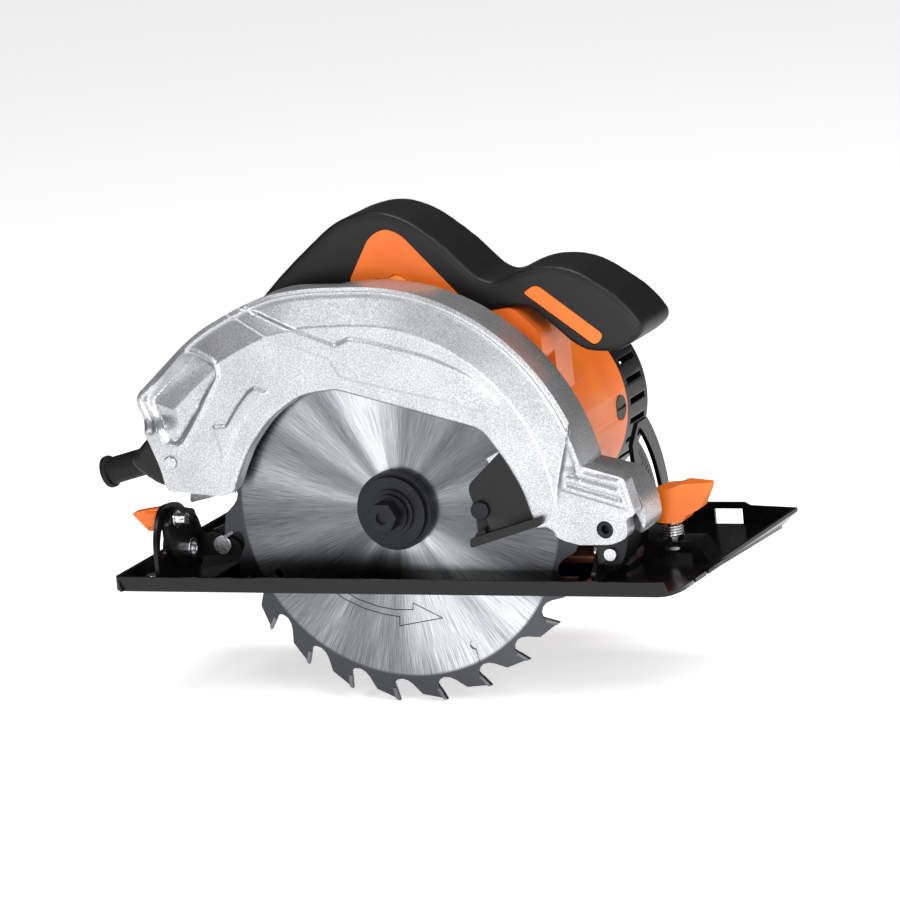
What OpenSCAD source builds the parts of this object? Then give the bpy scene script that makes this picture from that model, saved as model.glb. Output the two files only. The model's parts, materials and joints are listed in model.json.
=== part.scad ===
// Hand-held circular saw with a tilting, plunging head on a pressed steel sole.
// X points forwards, Y from the blade side to the motor side, Z up.
// The origin lies on the underside of the sole, below the blade's axis, in the blade's mid-plane.

/* [Blade] */
// Diameter of the blade over its teeth
blade_d = 185; // [184:0.5:186]
// Thickness of the blade's steel body
blade_t = 1.6; // [1.4:0.1:1.8]
// Width of the cut that the tips make
kerf = 2.4; // [2.2:0.1:2.6]
// Number of teeth
teeth = 24; // [20:2:30]
// Bore of the blade
blade_bore = 20; // [20:0.5:22]

/* [Sole] */
// Length of the sole along the cut
sole_l = 278; // [276:1:282]
// Width of the sole across the cut
sole_w = 129.4; // [129:0.1:131]
// Distance from the blade's axis back to the rear edge
sole_rear = 135; // [134:1:137]
// Distance from the blade's mid-plane to the edge on the blade side
sole_near = 25.4; // [25.2:0.1:26]
// Thickness of the sole's steel sheet
sheet = 2; // [1.8:0.1:2.2]
// Height of the turned-up lip on the blade side
near_lip = 7.4; // [6:0.2:7.8]
// Height of the turned-up lip on the motor side
far_lip = 12; // [11.5:0.5:13]
// Width of the slot for the rip fence bar
fence_w = 14; // [12:0.5:15]

/* [Head] */
// Height of the blade's axis above the underside of the sole
arbor_z = 34.5; // [34.5:0.1:35]
// Radius of the upper guard's round front
guard_r = 105; // [104.5:0.5:106]
// Wall of the cast upper guard
guard_wall = 2.5; // [2.2:0.1:2.6]
// Radius of the motor housing
motor_r = 47; // [46:0.5:48]
// Plane where the two handle halves meet
seam_y = 38; // [37.8:0.1:38.2]

/* [Gears] */
// Module of the gear teeth
gear_m = 1.25; // [1.25:0.01:1.26]
// Teeth on the spindle gear
gear_teeth = 43; // [43:1:43]
// Teeth on the armature pinion
pinion_teeth = 11; // [11:1:11]

/* [Hidden] */
$fn = 64;
eps = 0.01;
blade_r = blade_d / 2;
pitch_a = 360 / teeth;
tip_a = 9.56;
gear_r = gear_m * gear_teeth / 2;
pinion_r = gear_m * pinion_teeth / 2;
axes_gap = gear_r + pinion_r;
mesh_a = 43;
motor_x = axes_gap * cos(mesh_a);
motor_z = arbor_z + axes_gap * sin(mesh_a);
guard_near = -16;
guard_far = 14;
guard_cx = -5;
tilt_y = 3.5;
tilt_z = 14;
pivot_x = 108.4;
pivot_z = 28.8;
depth_r = 160;
depth_rest = 5.5;
depth_travel = 32;
front_x = sole_l - sole_rear;
far_y = sole_w - sole_near;
flare = 2.4;
fence_x = 122;
fence_y = 38;
screw_x = fence_x - 2.5;
stud_r = 60;
stud_a = 2;
stud_y = tilt_y + stud_r * cos(stud_a);
stud_z = tilt_z + stud_r * sin(stud_a);
knob_y = tilt_y + 19.2 * cos(122);
knob_z = tilt_z + 19.2 * sin(122);
guide_x = -98;
guide_z = 13.4;
collar_r = 27;
handle_y0 = 20;
handle_y1 = 56;
screw_spots = [[-108, 49], [112, 114]];

// ---- helpers ----

// Outline drawn in X and Z, as thick as the span from y0 to y1
module along_y(y0, y1) translate([0, y1, 0]) rotate([90, 0, 0]) linear_extrude(y1 - y0) children();

// Outline drawn in Y and Z, as thick as the span from x0 to x1
module along_x(x0, x1) translate([x0, 0, 0]) rotate([90, 0, 90]) linear_extrude(x1 - x0) children();

module rod_y(r, y0, y1, x = 0, z = 0) translate([x, y0, z]) rotate([-90, 0, 0]) cylinder(r = r, h = y1 - y0);
module rod_x(r, x0, x1, y = 0, z = 0) translate([x0, y, z]) rotate([0, 90, 0]) cylinder(r = r, h = x1 - x0);
module rod_z(r, z0, z1, x = 0, y = 0) translate([x, y, z0]) cylinder(r = r, h = z1 - z0);
module block(a, b) translate(a) cube(b - a);
module hex_y(r, y0, y1, x = 0, z = 0)
  translate([x, y0, z]) rotate([-90, 0, 0]) cylinder(r = r, h = y1 - y0, $fn = 6);

// Ring about the Y direction
module ring_y(ro, ri, y0, y1, x = 0, z = 0) difference() {
  rod_y(ro, y0, y1, x, z);
  rod_y(ri, y0 - 1, y1 + 1, x, z);
}

function polar(r, a, c = [0, 0]) = [c[0] + r * cos(a), c[1] + r * sin(a)];
function arc(r, a0, a1, n, c = [0, 0]) = [for (i = [0:n]) polar(r, a0 + (a1 - a0) * i / n, c)];
function unit(v) = v / norm(v);
function bend(a, p, b, n) = [for (i = [0:n]) let(t = i / n)
  (1 - t) * (1 - t) * a + 2 * t * (1 - t) * p + t * t * b];
function flat(p) = [p[0], p[1]];

// Rounds each corner whose third number says how far back the curve starts
function soft(p, n = 5) = let(m = len(p)) [for (i = [0:m - 1])
  let(c = flat(p[i]), a = flat(p[(i + m - 1) % m]), b = flat(p[(i + 1) % m]), want = p[i][2],
    d = want == undef ? 0 : min(want, 0.45 * norm(a - c), 0.45 * norm(b - c)))
  each (d == 0 ? [c] : bend(c + d * unit(a - c), c, c + d * unit(b - c), n))];

// Capsule-shaped slot that runs round a centre
module arc_slot(r, half, a0, a1, c = [0, 0])
  polygon(concat(arc(r + half, a0, a1, 24, c), arc(half, a1 + 20, a1 + 160, 7, polar(r, a1, c)),
    arc(r - half, a1, a0, 24, c), arc(half, a0 + 200, a0 + 340, 7, polar(r, a0, c))));

// Outline of a belt that runs round two circles
function belt(r1, c1, r2, c2, n) = let(v = c2 - c1, a = atan2(v[1], v[0]), b = acos((r1 - r2) / norm(v)))
  concat(arc(r1, a + b, a + 360 - b, n, c1), arc(r2, a - b, a + b, n, c2));

// ---- gears ----

function involute(a) = tan(a) * 180 / PI - a;
function half_tooth(rho, r, n, play) = let(rb = r * cos(20), q = max(rho, rb))
  90 / n + involute(20) - involute(acos(min(1, rb / q))) - play;
function gear_outline(n, r, play, turn) =
  let(radii = [r - 1.15 * gear_m, r - 0.4 * gear_m, r, r + 0.45 * gear_m, r + 0.8 * gear_m])
  [for (i = [0:n - 1]) each [for (s = [-1, 1]) each [for (k = [0:4])
    let(rho = s < 0 ? radii[k] : radii[4 - k])
    polar(rho, turn + 360 * i / n + s * half_tooth(rho, r, n, play))]]];

// ---- sole, fixed to the work side ----

module fence_bridge() difference() {
  along_y(fence_y - 8, fence_y + 8)
    polygon([[fence_x - 16.6, sheet - eps], [fence_x - 13, 11.5], [fence_x + 11, 11.5],
      [fence_x + 18, sheet - eps]]);
  block([fence_x - 10.5, fence_y - 9, sheet - 1], [fence_x + 9, fence_y + 9, 9]);
  rod_z(2.6, 0, 20, screw_x, fence_y);
}

// Lip of bent sheet that leans outwards, drawn in the plane across it
function lip_shape(h) = [[0, 0.4], [1.8, 0.4], [1.8 - flare, h], [-flare, h]];

module base_plate() color([0.07, 0.07, 0.08]) difference() {
  union() {
    linear_extrude(sheet) polygon(soft([
      [-sole_rear, -sole_near, 3], [front_x - 4, -sole_near, 5], [front_x, -15, 5],
      [front_x + 1, 30], [front_x + 6, far_y, 4], [-sole_rear, far_y, 4]]));
    intersection() {
      union() {
        along_x(-sole_rear - flare, front_x - 3) translate([-sole_near, 0]) polygon(lip_shape(near_lip));
        along_y(-sole_near - flare, far_y) translate([-sole_rear, 0]) polygon(lip_shape(near_lip));
      }
      linear_extrude(near_lip) polygon(soft([[-sole_rear - flare, -sole_near - flare, 4],
        [front_x - 3, -sole_near - flare, 6], [front_x - 3, far_y], [-sole_rear - flare, far_y]]));
    }
    along_y(far_y - 1.8, far_y) polygon([[-sole_rear, 1], [-sole_rear, near_lip], [-sole_rear + 20, far_lip],
      [fence_x + 8, far_lip], [fence_x + 11, far_lip - 1.6], [front_x + 13, far_lip - 2.6],
      [front_x + 5, 1]]);
    // front edge ramps up towards the motor side
    hull() {
      translate([front_x - 2, 28, 0.1]) cube([1.4, 1, 1.8]);
      translate([front_x + 3, far_y - 1, 0.1]) cube([1.4, 1, 1.8]);
      translate([front_x + 11.6, far_y - 1, far_lip - 4.4]) cube([1.4, 1, 1.8]);
    }
    fence_bridge();
  }
  block([-96, -15.5, -1], [92, 27, sheet + 1]);
  // dip in the far lip, below the motor's end cap
  rod_y(motor_r + 2, far_y - 5, far_y + 5, motor_x, motor_z);
  block([fence_x - fence_w / 2, far_y - 5, sheet - 0.6], [fence_x + fence_w / 2, far_y + 1, sheet + 7]);
  block([front_x - 3, -1.2, -1], [front_x + 2, 1.2, sheet + 1]);
  block([front_x - 3, 14, -1], [front_x + 2, 17, sheet + 1]);
}

// Upright plate that carries the front bevel hinge and the bevel scale
module front_quadrant() color([0.08, 0.08, 0.09]) difference() {
  union() {
    along_x(97.6, 99.8) polygon(soft([[-12, sheet], [-12, 6.5, 2], [-2, 16.6, 4], [4, 20, 4], [14, 18, 4],
      [24, 9, 3], [30, sheet]]));
    block([97.6, -12, sheet], [99.8, 74, sheet + 2]);
    block([97.6, 16, sheet], [105, 74, sheet + 2]);
    // slotted arc, set forward of the tilting bracket
    along_x(102.8, 105) polygon(concat([[40, sheet]], arc(71.7, -9, 45, 20, [tilt_y, tilt_z]), [[42.4, 64.6],
      [33.6, 56]], arc(46, 48, 16, 12, [tilt_y, tilt_z])));
  }
  rod_x(4, 90, 99.9, tilt_y, tilt_z);
  along_x(90, 110) arc_slot(stud_r, 3.2, stud_a - 1, stud_a + 46, [tilt_y, tilt_z]);
}

// Foot flanges are bent off each upright plate and riveted down
module rear_quadrant() color([0.08, 0.08, 0.09]) difference() {
  union() {
    along_x(-118, -116) polygon(soft([[-22, sheet], [-22, 24, 8], [-14, 38, 8], [8, 36, 8],
      [20, 20, 8], [24, sheet]]));
    block([-128, -20, sheet], [-116, 22, sheet + 2]);
  }
  rod_x(5, -130, -110, tilt_y, tilt_z);
  along_x(-130, -110) arc_slot(19.2, 3.2, 118, 171, [tilt_y, tilt_z]);
  for (y = [-14, 16]) rod_z(2.02, 0, 10, -123, y);
}

module quadrant_rivets() color("silver") for (y = [-14, 16]) {
  rod_z(2, sheet, sheet + 2.6, -123, y);
  rod_z(3.6, sheet + 2, sheet + 3.4, -123, y);
}

module bevel_pins() color("silver") {
  difference() {
    union() {
      rod_x(4.95, -120, -109.4, tilt_y, tilt_z);
      rod_x(6.4, -120.6, -118.05, tilt_y, tilt_z);
    }
    rod_x(2, -130, -119, tilt_y, tilt_z);
    rod_x(3.1, -112, -100, tilt_y, tilt_z);
  }
  rod_x(3.95, 97, 104.4, tilt_y, tilt_z);
  rod_x(5.2, 95.6, 97.55, tilt_y, tilt_z);
}

module fence_screw() color("silver") {
  rod_z(2.5, 9.2, 33, screw_x, fence_y);
  rod_z(5.5, 6.4, 9.0, screw_x, fence_y);
  rod_z(2.5, 8.9, 9.3, screw_x, fence_y);
}

module fence_spring() color("silver") for (i = [0:4])
  translate([screw_x, fence_y, 12.35 + 1.55 * i])
    rotate_extrude() translate([4.15, 0]) circle(0.75, $fn = 16);

module fence_knob() color("orange") translate([screw_x, fence_y, 0]) difference() {
  intersection() {
    along_y(-12, 12) polygon(soft([[-8.5, 34.3, 1], [-8, 20.5, 1], [7, 20, 1], [9, 23], [15, 25.7, 1],
      [21, 37.3, 1], [8, 38, 1], [3, 36.4], [-3, 36]]));
    rotate([0, 0, 8]) linear_extrude(60) polygon(belt(8.4, [0, 0], 3.2, [18, 0], 12));
  }
  rod_z(2.52, 19, 33.2);
}

// ---- tilting frame ----

module front_bracket() color([0.09, 0.09, 0.1]) difference() {
  union() {
    along_y(-8, 8) {
      translate([pivot_x, pivot_z]) circle(8.3);
      polygon(soft([[100.2, 10.5, 1], [100.2, pivot_z], [116.6, pivot_z], [115, 18, 5], [112, 10.5, 3]]));
    }
    block([100.2, -2, 6], [106, 14, 20]);
    along_x(100.2, 102.4) polygon(soft([[8, 7, 2], [8, 18.2, 3], [18, 19.4, 4], [54, 24, 5], [70, 22, 5],
      [70, 10, 5], [50, 9, 4]]));
  }
  rod_y(4.02, -20, 20, pivot_x, pivot_z);
  rod_x(4, 90, 104.6, tilt_y, tilt_z);
  rod_x(3.05, 90, 110, stud_y, stud_z);
  rod_y(2.05, -9, 0, 107, 15.4);
}

module depth_pin() color("dimgray") difference() {
  rod_y(4, -15.9, 13.9, pivot_x, pivot_z);
  rod_y(1.8, -17, -12, pivot_x, pivot_z);
}

module rear_bracket() color([0.09, 0.09, 0.1]) difference() {
  union() {
    along_x(-115.6, -112.4) polygon(soft([[-3, 6, 2], [-14, 17, 4], [-16, 30, 6], [-4, 36, 5], [14.6, 30, 3],
      [14.6, 6, 2]]));
    along_y(12.4, 14.4) polygon(soft([[-115.6, 6, 2], [-115.6, 31, 4], [-111.6, 27, 3], [-109, 18, 3],
      [-100, 19.6, 4], [-89, 14, 4], [-89, 8.4, 3], [-107.7, 7.8, 3]]));
  }
  rod_x(5, -130, -100, tilt_y, tilt_z);
  rod_x(3.05, -130, -100, knob_y, knob_z);
  rod_y(2.55, 0, 20, guide_x, guide_z);
}

module depth_guide() color([0.12, 0.12, 0.13]) difference() {
  along_y(14.5, 16.5) polygon(concat(
    arc(depth_r + 7, 179, 180 - depth_rest - depth_travel - 3.2, 20, [pivot_x, pivot_z]),
    arc(depth_r - 8, 180 - depth_rest - depth_travel - 3.2, 176, 20, [pivot_x, pivot_z]),
    [[-50, 26], [-76, 16], [-92, 9.4], [-103, 9], [-104, 20], [-76, 31]]));
  along_y(0, 30) arc_slot(depth_r, 3.2, 180 - depth_rest - depth_travel - 1.2,
    180 - depth_rest + 1.2, [pivot_x, pivot_z]);
  rod_y(2.55, 0, 30, guide_x, guide_z);
}

module bracket_screw() color("silver") {
  rod_y(2.5, 12.2, 18.2, guide_x, guide_z);
  rod_y(4.6, 10.2, 12.3, guide_x, guide_z);
  hex_y(4.4, 16.55, 19.4, guide_x, guide_z);
  rod_y(2, -8.1, -0.5, 107, 15.4);
  rod_y(3.1, -9.8, -8.02, 107, 15.4);
}

module bevel_studs() color("silver") {
  rod_x(3, -127, -106.4, knob_y, knob_z);
  rod_x(4.2, -112.3, -111, knob_y, knob_z);
  rod_x(3, 94, 106, stud_y, stud_z);
  rod_x(5, 105.15, 107.4, stud_y, stud_z);
}

module bevel_knob() color("orange") translate([0, knob_y, knob_z]) difference() {
  union() {
    rod_x(5.4, -126, -118.4);
    along_y(-2.8, 2.8) polygon(soft([[-134, 3.5, 2], [-118.6, 6, 1], [-118.6, -4], [-125.3, -5.4, 1]]));
  }
  rod_x(3.02, -127.3, -110);
}

module bevel_nut() color("silver") translate([0, stud_y, stud_z]) difference() {
  union() {
    rod_x(6, 95.4, 99.9);
    along_x(91, 97.5) polygon(soft([[-2, -12, 2], [-2, 12, 2], [2, 12, 2], [2, -12, 2]]));
  }
  rod_x(3.02, 93.8, 101);
}

// ---- upper guard and gear case ----

function guard_outline() = concat(
  arc(guard_r, 8, 101, 30, [guard_cx, arbor_z]),
  soft([[-29, 137.6], [-52, 137.5, 12], [-90, 121, 12], [-125, 89.5, 5], [-119, 74, 8], [-112.5, 57, 6],
    [-110.5, 46, 3], [-77, 43.3, 7], [-71, 56.5]]));

// Open middle of the near face, which shows the blade
function window_outline() = soft([[-71, 56.5], [-66, 66, 7], [-54, 80.5, 8], [-36.9, 91.5, 6],
  [-19, 94, 3], [51.6, 75.3, 5], [62, 61, 6], [69.5, 47, 8], [74.5, 28, 3], [79.5, 29.5, 3],
  [86, 24, 5], [95.5, 21.6]]);

function block_outline() = soft([[86, 24], [84, 44], [86, 59, 2], [117, 52, 4], [124, 40, 4], [125, 28, 4],
  [116.5, 20.6, 5], [104, 20.4, 4], [95, 21.6]]);

module guard_solid() {
  along_y(guard_near, guard_far) polygon(concat(guard_outline(),
    soft([[-71, 56.5], [-40, 40], [-29, 22]]), arc(31.5, 205, 335, 20, [0, arbor_z]),
    [[60, 22], [86, 22], [98, 22]]));
  along_y(guard_near - 1, guard_far) polygon(block_outline());
}

module upper_guard() color([0.75, 0.76, 0.77]) difference() {
  union() {
    difference() {
      guard_solid();
      // room for the blade and the lower guard
      along_y(guard_near + guard_wall, guard_far - guard_wall) union() {
        translate([0, arbor_z]) circle(97.3, $fn = 120);
        translate([guard_cx, arbor_z]) difference() {
          circle(guard_r - guard_wall, $fn = 120);
          translate([0, -150]) square([200, 300]);
        }
        polygon([[-20, 135], [-52, 134.5], [-88, 118.5], [-121, 88.5], [-108, 48], [-106, 20], [0, 20]]);
        translate([-150, -60]) square([238, 82]);
      }
      // window in the near face
      along_y(guard_near - 2, guard_near + guard_wall + 1) polygon(concat(window_outline(),
        [[95, 0], [-75, 0], [-75, 43.5]]));
    }
    // far wall reaches lower at the rear
    along_y(guard_far - guard_wall, guard_far)
      polygon(soft([[-109, 54], [-113.4, 33.5, 2], [-100, 36.5, 3], [-84, 44], [-84, 54]]));
    // collar that carries the lower guard and the spindle bearing
    ring_y(collar_r, 15.9, 6, guard_far - guard_wall + eps, 0, arbor_z);
  }
  rod_y(16, 5, 40, 0, arbor_z);
  // fork for the front bracket
  block([98.9, -8.3, 0], [118.5, 8.3, 39.5]);
  block([98.9, -8.3, 0], [130, 8.3, 25]);
  along_y(-8.3, 8.3) polygon([[110, 39], [118.4, 39], [124, 25], [118, 20], [105, 20]]);
  rod_y(4.02, -30, 30, pivot_x, pivot_z);
  // swarf outlet at the top rear
  along_y(guard_near - 2, -9) polygon(soft([[-117, 91, 5], [-104, 109, 6], [-84, 107, 5], [-79, 102, 4],
    [-95, 73, 6], [-105, 67.5, 5]]));
  rod_y(1.9, guard_near - 1, guard_near + 5, -106.8, 59.7);
  rod_y(3.05, 5, 20, pivot_x - depth_r * cos(depth_rest), pivot_z + depth_r * sin(depth_rest));
  for (a = [40, 130, 220, 310]) rod_y(1.55, 5.5, 12, 21.5 * cos(a), arbor_z + 21.5 * sin(a));
  // lower near edge is chamfered so that it clears the sole when the head tilts
  translate([0, guard_near - 1, 20.4]) rotate([45, 0, 0]) block([80, -2.2, -2.2], [130, 2.2, 2.2]);
}

module guard_screw() color("silver") {
  rod_y(1.85, guard_near - 0.4, guard_near + 6, -106.8, 59.7);
  rod_y(3.2, guard_near - 1.6, guard_near - 0.02, -106.8, 59.7);
}

module guard_bumper() color([0.1, 0.1, 0.1])
  rod_y(3.2, guard_near + guard_wall, guard_far - guard_wall, -102, 55);

module gear_room(grow, y0, y1) along_y(y0, y1)
  polygon(belt(29 + grow, [0, arbor_z], 16 + grow, [motor_x, motor_z], 28));

module gear_case() color([0.72, 0.73, 0.75]) difference() {
  gear_room(2.5, guard_far, 36);
  gear_room(0, 18, 37);
  rod_y(16.0, 10, 20, 0, arbor_z);
  // bore for the spindle lock button
  rod_x(4.05, motor_x + 10, motor_x + 22, 26, motor_z);
}

module bearing_retainer() color("silver") difference() {
  rod_y(32, 4.2, 5.9, 0, arbor_z);
  rod_y(12.4, 4, 7, 0, arbor_z);
  for (a = [40, 130, 220, 310]) rod_y(1.6, 3, 7, 21.5 * cos(a), arbor_z + 21.5 * sin(a));
}

module retainer_screws() color("dimgray") for (a = [40, 130, 220, 310]) {
  rod_y(1.5, 4.1, 11, 21.5 * cos(a), arbor_z + 21.5 * sin(a));
  rod_y(2.7, 3.3, 4.15, 21.5 * cos(a), arbor_z + 21.5 * sin(a));
}

module bearings() color("silver") {
  ring_y(15.95, 6.05, 6.1, 16, 0, arbor_z);
  ring_y(10.95, 4.05, 37, 44, 0, arbor_z);
  ring_y(14.95, 5.05, 37, 46, motor_x, motor_z);
  ring_y(10.95, 4.05, 128, 135, motor_x, motor_z);
}

module return_spring() color("silver") for (i = [0:2])
  translate([0, 9.3 + 0.8 * i, arbor_z]) rotate([90, 0, 0])
    rotate_extrude() translate([collar_r + 1.6, 0]) circle(0.35, $fn = 14);

// ---- motor ----

module motor_housing() color("orange") difference() {
  union() {
    rod_y(motor_r, 36, 112, motor_x, motor_z);
    along_y(36, 55) polygon(soft([[-22.7, 56], [-22.7, 95.7], [42, 122], [57, 124, 4], [69.5, 112, 4],
      [70, 80]]));
    along_y(21, 36 + eps) polygon(soft([[-22.7, 92], [-22.7, 95.7], [42, 122], [57, 124, 4], [69.5, 112, 4],
      [70, 99, 4], [52, 93]]));
    gear_room(2.5, 36, 47);
  }
  rod_y(motor_r - 3, 48, 113, motor_x, motor_z);
  rod_y(15, 30, 46.02, motor_x, motor_z);
  rod_y(7, 40, 60, motor_x, motor_z);
  rod_y(11, 30, 44.02, 0, arbor_z);
  rod_y(6, 40, 46, 0, arbor_z);
  // inlet slots beside the fan
  for (a = [-70:14:0]) translate([motor_x, 50, motor_z]) rotate([0, -a, 0])
    block([motor_r - 6, 0, -1.6], [motor_r + 2, 7, 1.6]);
  // bores for the brushes
  for (s = [-1, 1]) rod_x(6.05, motor_x + s * 38 - 14, motor_x + s * 38 + 14, 104, motor_z);
}

module motor_end_cap() color([0.08, 0.08, 0.08]) {
  end_cap_shell();
  ring_y(13.5, 11, 127, 139.1, motor_x, motor_z);
}

module end_cap_shell() difference() {
  union() {
    rod_y(motor_r - 3.05, 110.3, 112.1, motor_x, motor_z);
    rod_y(motor_r, 112, 138, motor_x, motor_z);
    rod_y(motor_r - 4, 137, 143, motor_x, motor_z);
  }
  rod_y(motor_r - 6, 100, 139, motor_x, motor_z);
  for (a = [20:20:340]) translate([motor_x, 0, motor_z]) rotate([0, -a, 0])
    block([18, 138, -2], [37, 150, 2]);
  for (a = [-60:12:60]) translate([motor_x, 116, motor_z]) rotate([0, -a, 0])
    block([motor_r - 8, 0, -1.4], [motor_r + 2, 18, 1.4]);
  for (a = [45:90:315]) rod_y(2.05, 133, 150, motor_x + 39.6 * cos(a), motor_z + 39.6 * sin(a));
}

module end_cap_screws() color("dimgray") for (a = [45:90:315])
  translate([motor_x + 39.6 * cos(a), 0, motor_z + 39.6 * sin(a)]) {
    rod_y(2, 134, 143.1);
    rod_y(3.2, 143.05, 144.8);
  }

module fan_baffle() color([0.1, 0.1, 0.1]) difference() {
  rod_y(motor_r - 3.1, 57.5, 59.5, motor_x, motor_z);
  rod_y(26, 50, 70, motor_x, motor_z);
}

module stator() color([0.5, 0.5, 0.52]) difference() {
  rod_y(motor_r - 3.02, 61, 97, motor_x, motor_z);
  rod_y(24.5, 60, 98, motor_x, motor_z);
  for (s = [-1, 1]) block([motor_x + s * 31 - 5, 60, motor_z - 14], [motor_x + s * 31 + 5, 100, motor_z + 14]);
}

module brush_holders() color("goldenrod") for (s = [-1, 1]) difference() {
  rod_x(6, motor_x + s * 31 - 12, motor_x + s * 31 + 12, 104, motor_z);
  block([motor_x + s * 31 - 20, 100.5, motor_z - 3.3], [motor_x + s * 31 + 20, 107.5, motor_z + 3.3]);
}

module carbon_brushes() color([0.2, 0.2, 0.2]) for (s = [-1, 1])
  block([motor_x + s * 22.1 - 7, 100.8, motor_z - 3], [motor_x + s * 22.1 + 7, 107.2, motor_z + 3]);

module brush_caps() color([0.06, 0.06, 0.06]) for (s = [-1, 1]) difference() {
  rod_x(6, motor_x + s * 45.2 - 2, motor_x + s * 45.2 + 2, 104, motor_z);
  block([motor_x + s * 47.2 - 0.8, 99, motor_z - 0.7], [motor_x + s * 47.2 + 0.8, 109, motor_z + 0.7]);
}

module armature_shaft() color("silver") {
  rod_y(5, 33, 98, motor_x, motor_z);
  rod_y(4, 18.5, 136, motor_x, motor_z);
  along_y(20, 33.2) translate([motor_x, motor_z])
    polygon(gear_outline(pinion_teeth, pinion_r, 0.9, mesh_a + 180 + 180 / pinion_teeth));
}

module armature_core() color([0.45, 0.45, 0.48]) difference() {
  union() {
    rod_y(23.6, 62, 96, motor_x, motor_z);
    rod_y(19, 60.5, 99, motor_x, motor_z);
  }
  rod_y(5, 50, 110, motor_x, motor_z);
}

module commutator() color("peru") difference() {
  rod_y(14.8, 99.2, 111, motor_x, motor_z);
  rod_y(5.01, 90, 120, motor_x, motor_z);
  rod_y(4.01, 90, 120, motor_x, motor_z);
}

module cooling_fan() color([0.15, 0.15, 0.15]) {
  difference() {
    union() {
      rod_y(34, 55, 56.6, motor_x, motor_z);
      rod_y(9, 48.5, 56.6, motor_x, motor_z);
      for (a = [0:30:330]) translate([motor_x, 49, motor_z]) rotate([0, a, 0])
        block([8, 0, -0.8], [33, 6.5, 0.8]);
    }
    rod_y(5, 40, 70, motor_x, motor_z);
  }
}

// ---- handle ----

function handle_outer() = soft([[-149, 51, 6], [-56, 143, 12], [-28, 166, 12], [-8, 170.5, 9], [8, 166, 8],
  [26, 153, 6], [46, 133.5, 9], [66, 143.5, 10], [88, 142.5, 10], [112, 127, 8], [123, 113, 6],
  [108, 102.5, 9], [90, 103, 8], [66, 124.5, 8], [54, 124.6, 4], [42, 122], [-22.7, 95.8],
  [-22.7, 56], [-96, 44, 12], [-130, 37, 10]]);

function finger_loop() = soft([[-42, 106, 9], [-26, 106, 8], [-26, 64, 8], [-84, 56, 9], [-101, 55, 8]]);

module handle_solid(y0, y1) along_y(y0, y1) difference() {
  polygon(handle_outer());
  polygon(finger_loop());
}

module handle_rooms(y0, y1) along_y(y0, y1) union() {
  polygon(soft([[-134, 52, 4], [-54, 131, 6], [-42, 122, 4], [-118, 46, 6]]));
  polygon(soft([[-50, 133, 3], [-26, 158, 6], [-6, 164, 6], [20, 150, 4], [34, 134, 4], [30, 124, 3],
    [-16, 105, 3], [-34, 111, 4]]));
}

module panel_seat(y0, y1, g) along_y(y0, y1)
  polygon(soft([[-23 + g, 138, 2], [-11, 158.5 - g, 5], [-3, 162.5 - g, 4], [5, 159.5 - g, 4],
    [35 - g, 127, 3], [20, 117 + g, 3], [-16 + g, 110 + g, 4]]));

module front_seat(y0, y1, g) along_y(y0, y1)
  polygon(soft([[63 + g, 131, 2], [70, 135.5 - g, 4], [102 - g, 111, 3], [97, 105.5 + g, 3]]));

module handle_near() color([0.09, 0.09, 0.09]) difference() {
  handle_solid(handle_y0, seam_y);
  handle_rooms(handle_y0 + 3.5, seam_y + 1);
  panel_seat(handle_y0 - 1, handle_y0 + 2, 0);
  front_seat(handle_y0 - 1, handle_y0 + 2, 0);
  rod_y(6.2, 10, 50, 1, 134);
  for (p = screw_spots) rod_y(2.1, handle_y0 + 4, 50, p[0], p[1]);
  trigger_gap();
  sleeve_bore();
}

module handle_far() color([0.09, 0.09, 0.09]) difference() {
  handle_solid(seam_y, handle_y1);
  handle_rooms(seam_y - 1, handle_y1 - 3.5);
  panel_seat(handle_y1 - 2, handle_y1 + 1, 0);
  front_seat(handle_y1 - 2, handle_y1 + 1, 0);
  rod_y(6.2, 30, 70, 1, 134);
  for (p = screw_spots) rod_y(2.1, 30, 70, p[0], p[1]);
  trigger_gap();
  sleeve_bore();
}

// Slot in the front of the grip for the trigger
module trigger_gap() translate([-52, 0, 107]) rotate([0, -45, 0])
  block([-26, seam_y - 7.5, -16], [8, seam_y + 7.5, 9.4]);

module sleeve_bore() translate([-142, seam_y, 49]) rotate([0, -105, 0]) translate([0, 0, -18])
  cylinder(r = 6.55, h = 40);

module cord_sleeve() color([0.06, 0.06, 0.06]) translate([-142, seam_y, 49]) rotate([0, -105, 0])
  difference() {
    union() {
      translate([0, 0, -8]) cylinder(r = 6.5, h = 36);
      translate([0, 0, 25]) cylinder(r = 7.8, h = 3);
    }
    translate([0, 0, -20]) cylinder(r = 3.6, h = 60);
  }

module cord_clamp() color([0.2, 0.2, 0.2])
  block([-124, seam_y - 8, 51.5], [-115, seam_y + 8, 54.5]);

module handle_screws() color("silver") for (p = screw_spots)
  rod_y(2, handle_y0 + 4.2, handle_y1 - 1.4, p[0], p[1]);

module side_panels() color("orange") {
  difference() {
    panel_seat(handle_y0 - 0.6, handle_y0 + 1.98, 0.2);
    rod_y(6.2, 10, 50, 1, 134);
  }
  difference() {
    panel_seat(handle_y1 - 1.98, handle_y1 + 0.6, 0.2);
    rod_y(6.2, 40, 60, 1, 134);
  }
}

module front_grip_panels() color("orange") {
  front_seat(handle_y0 - 0.6, handle_y0 + 1.98, 0.2);
  front_seat(handle_y1 - 1.98, handle_y1 + 0.6, 0.2);
}

module switch_block() color([0.15, 0.15, 0.15]) translate([-52, 0, 107]) rotate([0, -45, 0])
  block([-22, seam_y - 9, 10], [4, seam_y + 9, 17.5]);

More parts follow.
